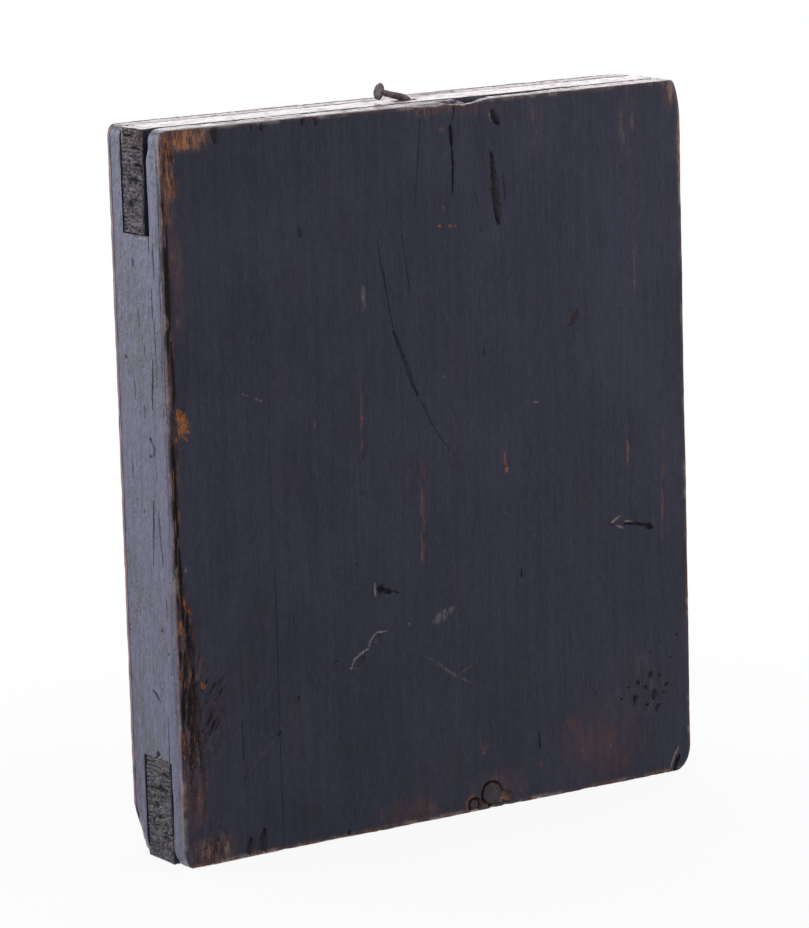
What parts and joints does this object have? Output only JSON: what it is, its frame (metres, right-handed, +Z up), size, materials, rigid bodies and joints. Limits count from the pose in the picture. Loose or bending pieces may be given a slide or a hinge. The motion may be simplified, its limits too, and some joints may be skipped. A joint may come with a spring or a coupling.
{
  "type": "panel icon",
  "caption": "Old wooden panel icon: dark varnished boards with end battens let into the top and bottom edges, a recessed painted field on the front and a bent hanging nail.",
  "frame": {"origin": "under the middle of the bottom edge, on the surface that the icon stands on, halfway through the thickness", "axes": "+Z up the panel, -Y out of the painted front, +Y out of the plain back, +X to the right of someone who looks at the front"},
  "size_m": [0.267, 0.041, 0.3189],
  "materials": {
    "varnished_wood": "near-black satin varnish over wood, worn to orange and brown at the edges",
    "batten_wood": "darkened rough end grain, varnished on the long faces",
    "dowel_wood": "bare wood, hidden in the glue joints",
    "linen": "plain woven linen soaked in glue",
    "gesso": "aged chalk ground with fine cracks",
    "red_paint": "aged dark red paint under old varnish",
    "ochre_paint": "aged ochre paint under old varnish",
    "gilding": "worn gilding over gesso, under darkened varnish",
    "green_paint": "aged dark green paint under old varnish",
    "brown_paint": "aged dark brown paint under old varnish",
    "nail_iron": "forged iron with brown rust"
  },
  "bodies": {
    "root": {"left_board": "varnished_wood", "middle_board": "varnished_wood", "right_board": "varnished_wood", "top_batten": "batten_wood", "bottom_batten": "batten_wood", "joint_dowel_1": "dowel_wood", "joint_dowel_2": "dowel_wood", "joint_dowel_3": "dowel_wood", "joint_dowel_4": "dowel_wood", "linen_ground": "linen", "gesso_ground": "gesso", "edge_line_paint": "red_paint", "border_paint": "ochre_paint", "slope_paint": "red_paint", "field_paint": "gilding", "meadow_paint": "green_paint", "hill_paint": "brown_paint", "cross_paint": "brown_paint", "top_nail": "nail_iron", "large_back_nail": "nail_iron", "small_back_nail": "nail_iron"}
  },
  "joints": []
}
